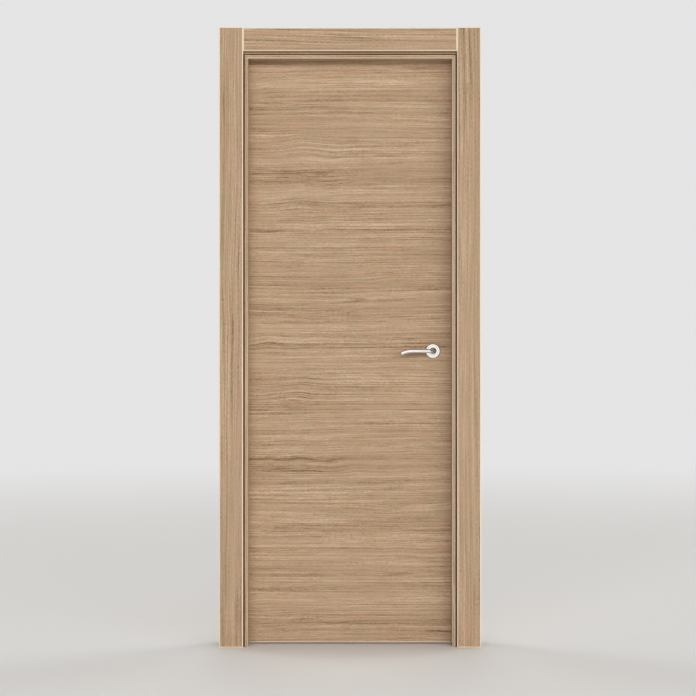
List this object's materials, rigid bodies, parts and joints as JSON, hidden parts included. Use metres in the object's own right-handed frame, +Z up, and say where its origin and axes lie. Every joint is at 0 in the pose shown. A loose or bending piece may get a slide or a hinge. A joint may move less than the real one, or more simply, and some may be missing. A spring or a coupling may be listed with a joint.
{
  "type": "flush oak door in its frame",
  "caption": "Flush oak door with level grain, hung on butt hinges in a rebated oak frame with flat architraves, with lever handles on round roses.",
  "frame": {"origin": "on the wall face of the hinge jamb, at floor level, halfway through the frame's depth", "axes": "+X from the hinge jamb to the latch jamb, +Y to the side that the leaf opens to, +Z up"},
  "size_m": [0.8994, 0.1506, 2.131],
  "materials": {
    "oak_upright_grain": "satin lacquer, grain upright",
    "oak_level_grain": "satin lacquer, grain level",
    "core_wood": "sawn",
    "seal_rubber": "matt",
    "hinge_steel": "brushed",
    "latch_steel": "brushed",
    "handle_metal": "polished"
  },
  "bodies": {
    "frame": {"hinge_jamb": "oak_upright_grain", "latch_jamb": "oak_upright_grain", "head_jamb": "oak_level_grain", "front_architrave_hinge_side": "oak_upright_grain", "front_architrave_latch_side": "oak_upright_grain", "front_architrave_head": "oak_level_grain", "back_architrave_hinge_side": "oak_upright_grain", "back_architrave_latch_side": "oak_upright_grain", "back_architrave_head": "oak_level_grain", "seal_hinge_side": "seal_rubber", "seal_latch_side": "seal_rubber", "seal_head": "seal_rubber", "strike_plate": "latch_steel", "hinge_frame_wing_bottom": "hinge_steel", "hinge_frame_wing_middle": "hinge_steel", "hinge_frame_wing_top": "hinge_steel", "hinge_pin_bottom": "hinge_steel", "hinge_pin_middle": "hinge_steel", "hinge_pin_top": "hinge_steel"},
    "leaf": {"leaf_core": "core_wood", "leaf_front_face": "oak_level_grain", "leaf_back_face": "oak_level_grain", "leaf_hinge_edge": "oak_upright_grain", "leaf_lock_edge": "oak_upright_grain", "leaf_top_edge": "oak_level_grain", "leaf_bottom_edge": "oak_level_grain", "hinge_leaf_wing_bottom": "hinge_steel", "hinge_leaf_wing_middle": "hinge_steel", "hinge_leaf_wing_top": "hinge_steel", "latch_case": "latch_steel", "latch_faceplate": "latch_steel", "latch_bolt": "latch_steel", "rose_front": "handle_metal", "rose_back": "handle_metal"},
    "handle": {"lever_front": "handle_metal", "lever_back": "handle_metal", "spindle": "latch_steel"}
  },
  "joints": [
    {"name": "leaf_swing", "type": "hinge", "parent": "frame", "child": "leaf", "pos_m": [0.0266, 0.053, 0], "axis": [0, 0, 1], "range_deg": [0, 170]},
    {"name": "lever_turn", "type": "hinge", "parent": "leaf", "child": "handle", "pos_m": [0.6792, 0.0275, 1.018], "axis": [0, -1, 0], "range_deg": [0, 45], "stiffness_Nm_per_rad": 1, "springref_deg": -28.65}
  ]
}
